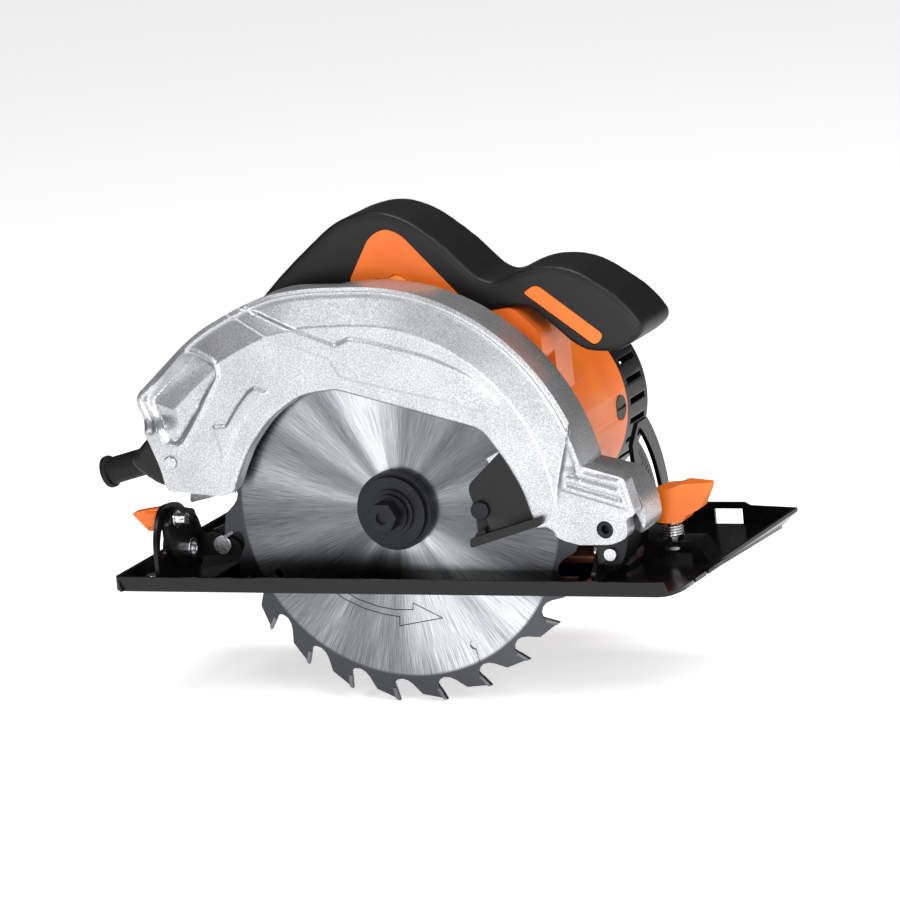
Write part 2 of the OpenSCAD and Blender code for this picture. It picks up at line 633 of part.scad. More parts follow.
module trigger() color([0.1, 0.1, 0.1]) translate([-52, seam_y, 107]) rotate([0, -45, 0])
  along_y(-7, 7) polygon(soft([[-24, 2], [-24, -18, 6], [-9, -13, 8], [4, -18, 5], [6, 2]]));

module lock_off_button() color("orange") {
  rod_y(6, handle_y0 - 3.4, handle_y1 + 3.4, 1, 134);
}

// ---- spindle set ----

module spindle() color("silver") difference() {
  union() {
    rod_y(6, 1, 36.5, 0, arbor_z);
    rod_y(4, 30, 44, 0, arbor_z);
  }
  rod_y(3.4, 0, 20, 0, arbor_z);
}

module drive_gear() color([0.6, 0.6, 0.62]) difference() {
  along_y(20.5, 32.5) translate([0, arbor_z]) polygon(gear_outline(gear_teeth, gear_r, 0.22, mesh_a));
  rod_y(6, 10, 40, 0, arbor_z);
  for (s = [0, 1]) ring_y(22, 11, s > 0 ? 30.5 : 19, s > 0 ? 34 : 22.5, 0, arbor_z);
}

module inner_flange() color([0.3, 0.3, 0.3]) difference() {
  union() {
    rod_y(18, blade_t / 2, 3.4, 0, arbor_z);
    rod_y(9.95, -0.6, 3.4, 0, arbor_z);
    rod_y(11, 3.3, 5.7, 0, arbor_z);
  }
  rod_y(6, 1, 10, 0, arbor_z);
  rod_y(3.4, -3, 10, 0, arbor_z);
}

function tooth(t) = [polar(blade_r - 3.5, t - pitch_a / 2), polar(blade_r - 1, t - 1.3),
  polar(blade_r - 5.7, t - 2.35), polar(blade_r - 5.72, t - 1.35), polar(blade_r - 8.2, t - 1.95),
  polar(blade_r - 9.8, t - 1), polar(blade_r - 10.6, t + 0.8), polar(blade_r - 10, t + 2.8),
  polar(blade_r - 8.2, t + 4.6), polar(blade_r - 5.8, t + 6.1)];

module blade() color([0.7, 0.7, 0.72]) translate([0, 0, arbor_z]) difference() {
  along_y(-blade_t / 2, blade_t / 2) polygon([for (k = [0:teeth - 1]) each tooth(tip_a + pitch_a * k)]);
  rod_y(blade_bore / 2, -5, 5);
  for (k = [0:3]) rotate([0, -(90 * k + 26.2), 0]) {
    rod_y(2.4, -5, 5, 72, 0);
    translate([72, 0, 0]) rotate([0, 14, 0]) block([0, -2, -0.35], [12.5, 2, 0.35]);
  }
}

module carbide_tips() color([0.45, 0.46, 0.48]) translate([0, 0, arbor_z]) along_y(-kerf / 2, kerf / 2)
  for (k = [0:teeth - 1]) let(t = tip_a + pitch_a * k)
    polygon([polar(blade_r, t), polar(blade_r - 5.7, t - 1.35), polar(blade_r - 5.7, t - 2.29),
      polar(blade_r - 0.4, t - 1.09)]);

module outer_flange() color([0.1, 0.1, 0.1]) difference() {
  union() {
    rod_y(18.5, -6, -blade_t / 2, 0, arbor_z);
    rod_y(16.5, -8.5, -5.9, 0, arbor_z);
    rod_y(11, -10, -8.4, 0, arbor_z);
  }
  rod_y(10.5, -0.85, 0, 0, arbor_z);
  rod_y(4.05, -12, 0, 0, arbor_z);
}

module blade_bolt() color([0.12, 0.12, 0.12]) difference() {
  union() {
    rod_y(3.35, -11, 18, 0, arbor_z);
    rod_y(4, -10.2, -1.1, 0, arbor_z);
    rod_y(9, -12, -10.05, 0, arbor_z);
    hex_y(7.2, -19.8, -11.9, 0, arbor_z);
  }
  rod_y(3, -21, -18, 0, arbor_z);
}

// ---- lower guard, drawn where it lies when fully drawn back ----

module guard_sector(r0, r1, a0, a1) translate([0, arbor_z])
  polygon(concat(arc(r1, a0, a1, 60), arc(r0, a1, a0, 60)));

module lower_guard() color([0.75, 0.76, 0.77]) difference() {
  union() {
    along_y(-11.9, 7.9) guard_sector(94.2, 95.7, 15, 173);
    along_y(-11.9, -10.5) guard_sector(78, 95, 15, 173);
    along_y(-11.9, -10.5) guard_sector(58, 80, 15, 27);
    along_y(6.4, 7.9) guard_sector(30, 95, 15, 173);
    ring_y(33, collar_r + 0.06, 6.2, 8.6, 0, arbor_z);
  }
  rod_y(collar_r + 0.06, 0, 20, 0, arbor_z);
}

// Black plate lapped over the lower guard, with a bar that reaches across the upper guard's face
module guard_lever() color([0.07, 0.07, 0.07]) {
  difference() {
    along_y(-13.1, -11.9) polygon(soft([[62, 67], [41, 48, 4], [44, 38, 3], [44.5, 22, 2], [72, 31, 1],
      [71, 50], [66, 66, 2]]));
    rod_y(2.05, -20, 0, 47, 37);
  }
  along_y(-17.3, -13) polygon(soft([[44, 21.5, 1.5], [50, 23.5], [50, 29.5], [45, 27, 1]]));
  along_y(-19.6, -17.2) polygon(soft([[43, 20.6, 1.5], [79, 31.6, 1.6], [79, 35.6, 1.6], [43, 25, 1.5]]));
}

module lever_screw() color([0.12, 0.12, 0.12]) {
  rod_y(2, -13.2, -11.95, 47, 37);
  rod_y(4.4, -15.2, -13.12, 47, 37);
}

// ---- controls ----

module depth_bolt() color("silver") {
  rod_y(3, 9.2, 27, pivot_x - depth_r * cos(depth_rest), pivot_z + depth_r * sin(depth_rest));
  rod_y(5, 9, 11.4, pivot_x - depth_r * cos(depth_rest), pivot_z + depth_r * sin(depth_rest));
}

module depth_lever() color([0.08, 0.08, 0.08]) translate([pivot_x - depth_r * cos(depth_rest), 0,
  pivot_z + depth_r * sin(depth_rest)]) difference() {
    union() {
      rod_y(6.5, 17, 24);
      along_y(18.5, 23) polygon(soft([[-4, 6, 2], [6, 5, 2], [-14, -28, 5], [-26, -27, 5]]));
    }
    rod_y(3.02, 0, 26);
  }

module spindle_lock() color([0.1, 0.1, 0.1]) {
  rod_x(4, motor_x + 13, motor_x + 25, 26, motor_z);
  rod_x(5.5, motor_x + 22.6, motor_x + 26, 26, motor_z);
}

base_plate();
front_quadrant();
rear_quadrant();
quadrant_rivets();
bevel_pins();
fence_screw();
fence_spring();
front_bracket();
rear_bracket();
depth_guide();
bracket_screw();
depth_pin();
bevel_studs();
upper_guard();
gear_case();
bearing_retainer();
retainer_screws();
motor_housing();
motor_end_cap();
end_cap_screws();
fan_baffle();
stator();
brush_holders();
carbon_brushes();
brush_caps();
handle_near();
handle_far();
handle_screws();
side_panels();
front_grip_panels();
switch_block();
cord_sleeve();
cord_clamp();
depth_bolt();
guard_screw();
guard_bumper();
return_spring();
bearings();
spindle();
drive_gear();
inner_flange();
blade();
carbide_tips();
outer_flange();
blade_bolt();
armature_shaft();
armature_core();
commutator();
cooling_fan();
lower_guard();
guard_lever();
lever_screw();
trigger();
lock_off_button();
spindle_lock();
depth_lever();
bevel_knob();
bevel_nut();
fence_knob();
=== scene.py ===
import json
import math

import bpy
import bmesh
import numpy as np
from mathutils import Matrix, Vector
from mathutils.geometry import delaunay_2d_cdt


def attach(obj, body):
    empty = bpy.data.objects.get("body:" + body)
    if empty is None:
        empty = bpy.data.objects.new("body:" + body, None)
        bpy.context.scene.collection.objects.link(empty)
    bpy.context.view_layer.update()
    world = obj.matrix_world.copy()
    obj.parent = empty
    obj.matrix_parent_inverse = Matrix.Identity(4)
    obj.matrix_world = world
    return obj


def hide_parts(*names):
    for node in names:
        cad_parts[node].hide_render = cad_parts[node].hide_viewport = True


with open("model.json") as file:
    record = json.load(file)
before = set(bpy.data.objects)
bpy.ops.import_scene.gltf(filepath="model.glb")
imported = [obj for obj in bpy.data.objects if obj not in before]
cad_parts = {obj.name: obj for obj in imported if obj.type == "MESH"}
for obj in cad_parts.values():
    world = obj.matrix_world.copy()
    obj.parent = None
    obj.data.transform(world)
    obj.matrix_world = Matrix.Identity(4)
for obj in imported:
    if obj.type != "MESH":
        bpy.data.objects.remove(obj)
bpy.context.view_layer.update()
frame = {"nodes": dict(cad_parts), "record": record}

# Shapes below are in millimetres, and are made in metres.
MM = 0.001
WELD = 0.00001                  # points closer than this are made one, in metres

ARBOR = (0.0, 34.5)             # the blade's axis, in X and Z
GUARD_C = (-4.6, 33.7)          # centre of the upper guard's round front
GUARD_R = 107.4
GUARD_FACE = -16.0              # flat near face of the upper guard, in Y
PIVOT = (108.4, 28.8)           # depth pivot
SEAM = 38.0                     # where the handle halves meet, in Y
HANDLE_Y = (20.0, 56.0)
FENCE = (119.5, 38.0)           # axis of the fence screw, in X and Y

NODE_SLOT = {s["node"]: s["material_slot"] for s in frame["record"]["subparts"]}
NODE_BODY = {n: body for body, nodes in frame["record"]["behaviour"]["bodies"].items() for n in nodes}


# ---------------------------------------------------------------- camera and light

CAMERA_TURN = (24.426, 12.425, -5.556)      # azimuth, elevation and roll, in degrees
CAMERA_AIM = (23.5, 26.714)                 # aim to the right of the arbor and above it
CAMERA_DISTANCE = 2646.296
LENS = 229.47
SENSOR = 36
LIGHT_TARGET = (0, 0.02, 0.06)
FLOOR = -0.0582                             # just below the lowest tooth, in metres


def make_camera():
    """Long lens from the blade side, a little ahead of the saw and above it."""
    azimuth, elevation, roll = (math.radians(a) for a in CAMERA_TURN)
    forward = Vector((-math.sin(azimuth) * math.cos(elevation),
                      math.cos(azimuth) * math.cos(elevation), -math.sin(elevation)))
    level = Vector((math.cos(azimuth), math.sin(azimuth), 0))
    upright = level.cross(forward)
    right = math.cos(roll) * level + math.sin(roll) * upright
    up = math.cos(roll) * upright - math.sin(roll) * level
    aim = Vector((ARBOR[0], 0, ARBOR[1])) + CAMERA_AIM[0] * right + CAMERA_AIM[1] * up
    data = bpy.data.cameras.new("camera")
    data.sensor_width = SENSOR
    data.lens = LENS
    data.clip_start, data.clip_end = 0.1, 20
    camera = bpy.data.objects.new("camera", data)
    bpy.context.scene.collection.objects.link(camera)
    turn = Matrix((right, up, -forward)).transposed().to_4x4()
    camera.matrix_world = Matrix.Translation((aim - CAMERA_DISTANCE * forward) * MM) @ turn
    bpy.context.scene.camera = camera


def area_light(name, place, size, power):
    """Rectangular softbox that faces the middle of the saw."""
    data = bpy.data.lights.new(name, "AREA")
    data.shape = "RECTANGLE"
    data.size, data.size_y = size
    data.energy = power
    light = bpy.data.objects.new(name, data)
    bpy.context.scene.collection.objects.link(light)
    light.location = place
    light.rotation_euler = (Vector(LIGHT_TARGET) - Vector(place)).to_track_quat("-Z", "Y").to_euler()


def make_stage():
    """Studio: a glow that differs with direction, a white floor and four softboxes."""
    world = bpy.data.worlds.new("studio")
    bpy.context.scene.world = world
    world.use_nodes = True
    tree = world.node_tree
    sky = tree.nodes["Background"]
    # the room is dark at the upper left, and bright in front and to the right
    place = add(tree, "TexCoord").outputs["Generated"]
    towards = add(tree, "VectorMath", {0: place, 1: (0.80, -0.50, -0.33)}, operation="DOT_PRODUCT")
    glow = ramp(tree, remap(tree, towards.outputs["Value"], 0.5, 1.0), [
        (0.50, (0.05, 0.05, 0.05, 1)), (0.64, (0.35, 0.35, 0.35, 1)), (0.76, (1.0, 1.0, 1.0, 1))])
    tree.links.new(glow, sky.inputs["Color"])
    sky.inputs["Strength"].default_value = 1.0
    bpy.context.scene.view_settings.view_transform = "Standard"
    bpy.ops.mesh.primitive_plane_add(size=30, location=(0, 0, FLOOR))
    floor = bpy.context.object
    floor.name = "floor"
    floor.data.materials.append(matt_floor())
    area_light("right_softbox", (0.9, -0.9, 0.9), (0.5, 0.9), 9)
    area_light("top_softbox", (0.1, 0.3, 1.2), (0.9, 0.4), 8)
    area_light("left_softbox", (-0.7, -1.1, 1.1), (0.5, 0.5), 5)
    area_light("low_front_softbox", (-0.05, -1.5, 0.05), (0.7, 0.22), 4)


# ---------------------------------------------------------------- materials

def linear(hex_colour):
    """sRGB hex to the linear colour that the shaders take."""
    parts = [int(hex_colour[i:i + 2], 16) / 255 for i in (1, 3, 5)]
    return [c / 12.92 if c <= 0.04045 else ((c + 0.055) / 1.055) ** 2.4 for c in parts] + [1]


def add(tree, kind, links=(), **settings):
    """Adds one node. Its links take a socket or a value, and its settings are inputs or properties."""
    made = tree.nodes.new("ShaderNode" + kind)
    for name, value in settings.items():
        label = name.replace("_", " ")
        if label in made.inputs:
            made.inputs[label].default_value = value
        else:
            setattr(made, name, value)
    for name, source in dict(links).items():
        if isinstance(source, bpy.types.NodeSocket):
            tree.links.new(source, made.inputs[name])
        else:
            made.inputs[name].default_value = source
    return made


def shader(name, **settings):
    """A new material with constants set on its shader, its tree, its shader and object coordinates."""
    made = bpy.data.materials.new(name)
    made.use_nodes = True
    tree = made.node_tree
    main = tree.nodes["Principled BSDF"]
    for label, value in settings.items():
        main.inputs[label.replace("_", " ")].default_value = value
    place = add(tree, "TexCoord").outputs["Object"]
    return made, tree, main, place


def noise(tree, place, period_mm, detail=2.0, rough=0.5):
    """Noise whose lumps are about period_mm across."""
    made = add(tree, "TexNoise", {"Vector": place}, Scale=1000 / period_mm, Detail=detail, Roughness=rough)
    return made.outputs["Fac"]


def ramp(tree, source, stops):
    """Colour ramp from (position, linear colour) stops."""
    made = add(tree, "ValToRGB", {"Fac": source})
    elements = made.color_ramp.elements
    while len(elements) < len(stops):
        elements.new(0.5)
    for element, (at, colour) in zip(elements, stops):
        element.position = at
        element.color = colour
    return made.outputs["Color"]


def remap(tree, source, low, high):
    """Takes 0..1 to low..high."""
    return add(tree, "MapRange", {"Value": source}, To_Min=low, To_Max=high).outputs["Result"]


def dent(tree, main, height, distance_mm, strength):
    """Surface texture too fine to model."""
    bump = add(tree, "Bump", {"Height": height}, Strength=strength, Distance=distance_mm * MM)
    tree.links.new(bump.outputs["Normal"], main.inputs["Normal"])


def matt_floor():
    """White studio board, lit a little from within so that it stays white away from the lamps."""
    made, *_ = shader("matt_white_board", Roughness=0.95, Base_Color=linear("#FAFAFA"),
                      Emission_Color=(1, 1, 1, 1), Emission_Strength=0.62)
    return made


def die_cast_aluminium():
    """Shot-blasted die casting: silver grey with a crisp salt-and-pepper grain and a soft sheen."""
    made, tree, main, place = shader("shot_blasted_die_cast_aluminium", Metallic=0.85)
    # the real grit is 0.2 mm, and is drawn at 0.7 mm so that it shows
    grit = noise(tree, place, 0.7, 3.0, 0.65)
    cloud = noise(tree, place, 18)
    shade = ramp(tree, grit, [(0.32, linear("#9FA0A2")), (0.50, linear("#C6C7C9")), (0.68, linear("#E6E6E7"))])
    blotch = ramp(tree, cloud, [(0.3, linear("#E4E5E6")), (0.7, linear("#FFFFFF"))])
    mixed = add(tree, "MixRGB", {"Color1": shade, "Color2": blotch}, blend_type="MULTIPLY", Fac=0.7)
    tree.links.new(mixed.outputs["Color"], main.inputs["Base Color"])
    tree.links.new(remap(tree, grit, 0.44, 0.30), main.inputs["Roughness"])
    dent(tree, main, grit, 0.05, 0.55)
    return made


def ground_blade_steel():
    """Saw blade ground from the centre outwards: fine radial hairlines, with painted highlights and painted shade
    in sectors of its colour.
    """
    made, tree, main, place = shader("radially_ground_blade_steel", Metallic=1.0, Anisotropic=0.75)
    apart = add(tree, "SeparateXYZ", {"Vector": place})
    x, z = apart.outputs["X"], apart.outputs["Z"]
    up = add(tree, "Math", {0: z, 1: ARBOR[1] * MM}, operation="SUBTRACT").outputs[0]
    turn = add(tree, "Math", {0: up, 1: x}, operation="ARCTAN2").outputs[0]
    squares = add(tree, "CombineXYZ", {"X": x, "Y": up})
    radius = add(tree, "VectorMath", {0: squares.outputs["Vector"]}, operation="LENGTH").outputs["Value"]
    # hairlines: very long along the radius, 0.3 mm apart across it, at mid radius
    swept = add(tree, "CombineXYZ", {"X": turn, "Y": radius})
    hair = add(tree, "Mapping", {"Vector": swept.outputs["Vector"]}, Scale=(90, 30, 1)).outputs["Vector"]
    lines = add(tree, "TexNoise", {"Vector": hair}, Scale=2.0, Detail=4.0, Roughness=0.7).outputs["Fac"]
    # broad noise fans of painted highlight across the blade's colour
    wide = add(tree, "Mapping", {"Vector": swept.outputs["Vector"]}, Scale=(1.6, 3, 1), Location=(0.6, 0, 0))
    painted_fans = add(tree, "TexNoise", {"Vector": wide.outputs["Vector"]}, Scale=1.6, Detail=1.0).outputs["Fac"]
    tone = ramp(tree, lines, [(0.30, linear("#77797C")), (0.50, linear("#B9BBBE")), (0.72, linear("#ECEDEE"))])
    # painted highlight and painted shade: two bright sectors and two dark ones, set as a bow tie in the colour
    angle = add(tree, "Math", {0: turn, 1: 2.0, 2: math.radians(-225)}, operation="MULTIPLY_ADD").outputs[0]
    painted_bow_tie = remap(tree, add(tree, "Math", {0: angle}, operation="COSINE").outputs[0], 0.5, 0.72)
    painted_sheen = add(tree, "Math", {0: painted_fans, 1: painted_bow_tie, 2: 0.14}, operation="MULTIPLY_ADD").outputs[0]
    painted_sectors = ramp(tree, painted_sheen, [(0.34, linear("#4C4D50")), (0.44, linear("#A2A3A5")), (0.54, linear("#FFFFFF"))])
    mixed = add(tree, "MixRGB", {"Color1": tone, "Color2": painted_sectors}, blend_type="MULTIPLY", Fac=0.75)
    # the toothed rim is left dark from hardening
    rim = add(tree, "MapRange", {"Value": radius}, From_Min=79.0 * MM, From_Max=80.4 * MM).outputs["Result"]
    dark = add(tree, "MixRGB", {"Fac": rim, "Color1": mixed.outputs["Color"]}, Color2=linear("#4A4B4E"))
    tree.links.new(dark.outputs["Color"], main.inputs["Base Color"])
    tree.links.new(remap(tree, lines, 0.24, 0.42), main.inputs["Roughness"])
    tangent = add(tree, "Tangent", direction_type="RADIAL", axis="Y")
    tree.links.new(tangent.outputs["Tangent"], main.inputs["Tangent"])
    dent(tree, main, lines, 0.02, 0.35)
    return made


def metal(name, colour, rough, grain_mm=1.2, metallic=1.0):
    """Plated, turned or oxide-blackened steel: its colour varies a little, and its gloss breaks up."""
    made, tree, main, place = shader(name, Metallic=metallic)
    grain = noise(tree, place, grain_mm, 3.0)
    base = linear(colour)
    low = [c * 0.72 for c in base[:3]] + [1]
    tree.links.new(ramp(tree, grain, [(0.3, low), (0.6, base)]), main.inputs["Base Color"])
    tree.links.new(remap(tree, grain, rough * 0.75, rough * 1.25), main.inputs["Roughness"])
    dent(tree, main, grain, 0.02, 0.5)
    return made


def plastic(name, colour, shade, rough, texture_mm, depth_mm, gloss=0.5, coat=0.0):
    """Moulded plastic, rubber or paint: a finely textured skin, with slightly uneven colour and gloss."""
    made, tree, main, place = shader(name, IOR=1.53, Specular_IOR_Level=gloss, Coat_Weight=coat,
                                     Coat_Roughness=0.12)
    skin = noise(tree, place, texture_mm, 2.0)
    flow = noise(tree, place, 35)
    tones = ramp(tree, flow, [(0.35, linear(shade)), (0.62, linear(colour))])
    tree.links.new(tones, main.inputs["Base Color"])
    tree.links.new(remap(tree, skin, rough * 0.85, min(1.0, rough * 1.2)), main.inputs["Roughness"])
    dent(tree, main, skin, depth_mm, 0.6)
    return made


def stacked_sheet():
    """Electrical steel in 0.5 mm sheets, seen as fine rings along the motor's axis."""
    made, tree, main, place = shader("stacked_electrical_steel", Metallic=0.9, Roughness=0.5)
    sheets = add(tree, "TexWave", {"Vector": place}, wave_type="BANDS", bands_direction="Y", Scale=320.0)
    tree.links.new(ramp(tree, sheets.outputs["Fac"], [(0.2, linear("#3F4144")), (0.8, linear("#74777B"))]),
                   main.inputs["Base Color"])
    dent(tree, main, sheets.outputs["Fac"], 0.05, 0.5)
    return made


def make_finishes():
    """One material for each finish in the record."""
    return {
        # baked enamel on pressed steel: deep black, wet-looking, with a slight orange peel
        "black_paint": plastic("glossy_black_enamel", "#0B0B0C", "#070708", 0.2, 2.5, 0.02,
                               gloss=0.25, coat=0.1),
        # powder coat: black with a satin, finely pebbled skin
        "black_steel": plastic("satin_black_powder_coat", "#0D0D0E", "#08090A", 0.3, 1.0, 0.03,
                               gloss=0.25, coat=0.08),
        "zinc": metal("bright_zinc_plated_steel", "#D2D4D6", 0.24),
        "dark_steel": metal("black_oxide_steel", "#26272A", 0.38, metallic=0.75),
        "cast_aluminium": die_cast_aluminium(),
        # glass-filled nylon: dull gloss and a fine pitted skin, in orange and in black
        "orange_plastic": plastic("orange_moulded_nylon", "#F47A1C", "#EA6A1E", 0.42, 0.8, 0.03),
        "orange_button": plastic("light_orange_moulded_nylon", "#FB9A3A", "#F58E30", 0.32, 0.8, 0.02),
        "black_plastic": plastic("black_moulded_nylon", "#101011", "#0B0B0C", 0.4, 0.7, 0.03, gloss=0.3),
        # thermoplastic elastomer over nylon: dead black with a broad, weak sheen
        "soft_grip": plastic("black_soft_touch_elastomer", "#0F0F10", "#0A0A0B", 0.46, 0.7, 0.05, gloss=0.35),
        "rubber": plastic("black_moulded_rubber", "#0F0F0F", "#0A0A0A", 0.6, 0.9, 0.05, gloss=0.3),
        "lamination": stacked_sheet(),
        "brass": metal("drawn_brass", "#C39A54", 0.3),
        "carbon": plastic("pressed_carbon", "#2A2A2B", "#1E1E1F", 0.7, 0.5, 0.04),
        "copper": metal("turned_copper", "#B8703F", 0.28),
        "gear_steel": metal("hobbed_hardened_steel", "#96989B", 0.32),
        "blade_steel": ground_blade_steel(),
        "carbide": metal("sintered_carbide", "#77797C", 0.34, grain_mm=0.5),
    }


# ---------------------------------------------------------------- outlines

def arc(radius, start, end, count, centre=(0.0, 0.0)):
    """Points on an arc from start to end, in degrees."""
    steps = [math.radians(start + (end - start) * i / count) for i in range(count + 1)]
    return [(centre[0] + radius * math.cos(a), centre[1] + radius * math.sin(a)) for a in steps]


def soft(points, count=5):
    """Rounds each corner of a closed outline whose third number says how far back the curve starts."""
    out = []
    for i, point in enumerate(points):
        here, before, after = (Vector(points[j % len(points)][:2]) for j in (i, i - 1, i + 1))
        back = point[2] if len(point) > 2 else 0
        back = min(back, 0.45 * (before - here).length, 0.45 * (after - here).length)
        if back == 0:
            out.append(tuple(here))
            continue
        a, b = here + back * (before - here).normalized(), here + back * (after - here).normalized()
        for k in range(count + 1):
            t = k / count
            out.append(tuple((1 - t) ** 2 * a + 2 * t * (1 - t) * here + t * t * b))
    return out


def resample(outline, step):
    """Closed outline with points no further apart than step."""
    out = []
    for i, point in enumerate(outline):
        a, b = Vector(point), Vector(outline[(i + 1) % len(outline)])
        parts = max(1, math.ceil((b - a).length / step))
        out += [tuple(a.lerp(b, k / parts)) for k in range(parts)]
    return out


def distance_to(p, outline, closed=True):
    """Distance from each point to an outline, and whether the point is inside it."""
    a = np.asarray(outline, float)
    b = np.roll(a, -1, 0)
    if not closed:
        a, b = a[:-1], b[:-1]
    best = np.full(len(p), 1e9)
    inside = np.zeros(len(p), bool)
    for (ax, az), (bx, bz) in zip(a, b):
        ex, ez = bx - ax, bz - az
        t = np.clip(((p[:, 0] - ax) * ex + (p[:, 1] - az) * ez) / max(ex * ex + ez * ez, 1e-12), 0, 1)
        best = np.minimum(best, np.hypot(p[:, 0] - ax - t * ex, p[:, 1] - az - t * ez))
        if az != bz:
            inside ^= ((az > p[:, 1]) != (bz > p[:, 1])) & (p[:, 0] < ex * (p[:, 1] - az) / ez + ax)
    return best, inside


def depth_inside(p, outline):
    """Distance from each point to a closed outline: above 0 inside it and below 0 outside."""
    gap, inside = distance_to(p, outline)
    return np.where(inside, gap, -gap)


# ---------------------------------------------------------------- modelling

def deselect():
    if bpy.context.mode != "OBJECT":
        bpy.ops.object.mode_set(mode="OBJECT")
    bpy.ops.object.select_all(action="DESELECT")


def activate(piece):
    """Selects one piece alone, for an operator to act on."""
    deselect()
    piece.select_set(True)
    bpy.context.view_layer.objects.active = piece


def edit(piece):
    """Opens a piece in edit mode with all of it selected."""
    activate(piece)
    bpy.ops.object.mode_set(mode="EDIT")
    bpy.ops.mesh.select_all(action="SELECT")


def close_edit(outwards=True):
    """Leaves edit mode, with the normals turned outwards first."""
    if outwards:
        bpy.ops.mesh.normals_make_consistent(inside=False)
    bpy.ops.object.mode_set(mode="OBJECT")


def place_in(axis, u, v, along):
    """Point in metres of an outline drawn across an axis: Y takes (X, Z) and X takes (Y, Z)."""
    spots = {"Y": (u, along, v), "X": (along, u, v)}
    return Vector(spots[axis]) * MM


def slab(name, outline, low, high, axis="Y"):
    """Outline given thickness from low to high along an axis."""
    deselect()
    bpy.ops.mesh.primitive_circle_add(vertices=len(outline), fill_type="NGON")
    piece = bpy.context.object
    piece.name = name
    for vertex, (u, v) in zip(piece.data.vertices, outline):
        vertex.co = place_in(axis, u, v, low)
    piece.location = (0, 0, 0)
    edit(piece)
    bpy.ops.mesh.extrude_region_move(TRANSFORM_OT_translate={"value": place_in(axis, 0, 0, high - low)})
    bpy.ops.mesh.select_all(action="SELECT")
    close_edit()
    return piece


def rod(name, radius, low, high, centre, axis="Y", count=48):
    """Round bar along an axis."""
    return slab(name, arc(radius, 0, 360 - 360 / count, count - 1, centre), low, high, axis)


AXIS_RING = 0.001       # radius of a lathe's end rings before they are merged to a point


def lathe(name, profile, centre, count=64):
    """Solid of revolution about an axis along Y, from (radius, Y) points. Its ends lie on the axis."""
    deselect()
    mesh = bpy.data.meshes.new(name)
    piece = bpy.data.objects.new(name, mesh)
    bpy.context.scene.collection.objects.link(piece)
    shape = bmesh.new()
    rings = []
    for radius, along in profile:
        spots = arc(max(radius, AXIS_RING), 0, 360 - 360 / count, count - 1, centre)
        rings.append([shape.verts.new(place_in("Y", u, v, along)) for u, v in spots])
    for first, second in zip(rings, rings[1:]):
        for k in range(count):
            n = (k + 1) % count
            shape.faces.new((first[k], first[n], second[n], second[k]))
    shape.faces.new(rings[0])
    shape.faces.new(list(reversed(rings[-1])))
    bmesh.ops.remove_doubles(shape, verts=shape.verts, dist=WELD)
    bmesh.ops.recalc_face_normals(shape, faces=shape.faces)
    shape.to_mesh(mesh)
    shape.free()
    return piece


def modify(piece, kind, **settings):
    """Adds a modifier and applies it."""
    activate(piece)
    made = piece.modifiers.new(kind.lower(), kind)
    for name, value in settings.items():
        setattr(made, name, value)
    bpy.ops.object.modifier_apply(modifier=made.name)
    return piece


def cut(piece, *cutters):
    """Takes the cutters out of a piece."""
    for cutter in cutters:
        modify(piece, "BOOLEAN", operation="DIFFERENCE", object=cutter, solver="EXACT")
        bpy.data.objects.remove(cutter)
    return piece


def join(name, pieces):
    """Makes one object of several, without merging their solids."""
    activate(pieces[0])
    for piece in pieces:
        piece.select_set(True)
    if len(pieces) > 1:
        bpy.ops.object.join()
    pieces[0].name = name
    return pieces[0]


def round_edges(piece, width_mm, segments=2, smooth=40):
    """Rounds the edges that turn more than 32 degrees, and shades the rest smooth."""
    activate(piece)
    bpy.ops.object.shade_smooth_by_angle(angle=math.radians(smooth))
    if width_mm:
        modify(piece, "BEVEL", width=width_mm * MM, segments=segments, limit_method="ANGLE",
               angle_limit=math.radians(32), harden_normals=True, miter_outer="MITER_ARC")
    return piece


def copy_node(node, name):
    """Copy of a CAD node with its loose triangles merged into flat faces."""
    source = frame["nodes"][node]
    piece = bpy.data.objects.new(name, source.data.copy())
    bpy.context.scene.collection.objects.link(piece)
    edit(piece)
    bpy.ops.mesh.remove_doubles(threshold=0.000002)
    bpy.ops.mesh.dissolve_limited(angle_limit=math.radians(0.6))
    close_edit(False)
    return piece


def give(piece, body, slot_name, *nodes):
    """Finishes a piece: its material, its body, its slot and the CAD nodes it stands for."""
    piece.data.materials.clear()
    piece.data.materials.append(FINISH[slot_name])
    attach(piece, body)
    if nodes:
        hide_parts(*nodes)
    return piece


def dressed(node, width_mm):
    """Stands a copy with rounded edges in for a CAD node."""
    piece = copy_node(node, node + "_rounded")
    round_edges(piece, width_mm)
    return give(piece, NODE_BODY[node], NODE_SLOT[node], node)


# ---------------------------------------------------------------- upper guard

# What is cast into the near face, in X and Z, with each corner's rounding third
SCOOP = soft([(-117.4, 89.3, 4), (-94.5, 111.9, 6), (-79.5, 106.2, 4), (-78.9, 101.5, 4), (-92.6, 79.9, 8),
              (-100.7, 68.6, 4), (-107.5, 68.0, 5), (-116.8, 85.2, 4)])
STRIP = soft([(-66.0, 133.0), (-33.6, 121.2, 4), (-16.7, 115.0, 1), (-8.7, 118.4, 2), (2.0, 116.3, 6),
              (27.3, 110.1, 8), (48.0, 101.5, 8), (63.0, 87.5, 4), (55.4, 83.1, 3), (35.9, 88.8, 4),
              (-10.8, 98.7, 2), (-16.1, 100.7, 2), (-20.6, 108.9, 2), (-48.3, 117.7, 4), (-74.0, 129.8)])
ARROW = [(-59.6, 95.3), (-53.2, 93.2), (-63.0, 85.0), (-70.7, 75.8), (-76.3, 66.5), (-79.1, 61.3), (-82.9, 76.8),
         (-76.1, 77.3), (-69.6, 86.1), (-63.2, 93.3)]
PANEL = soft([(90.2, 57.6, 1.5), (117.6, 51.8, 1.5), (121.2, 38.0, 1.5), (88.2, 47.6, 1.5)])
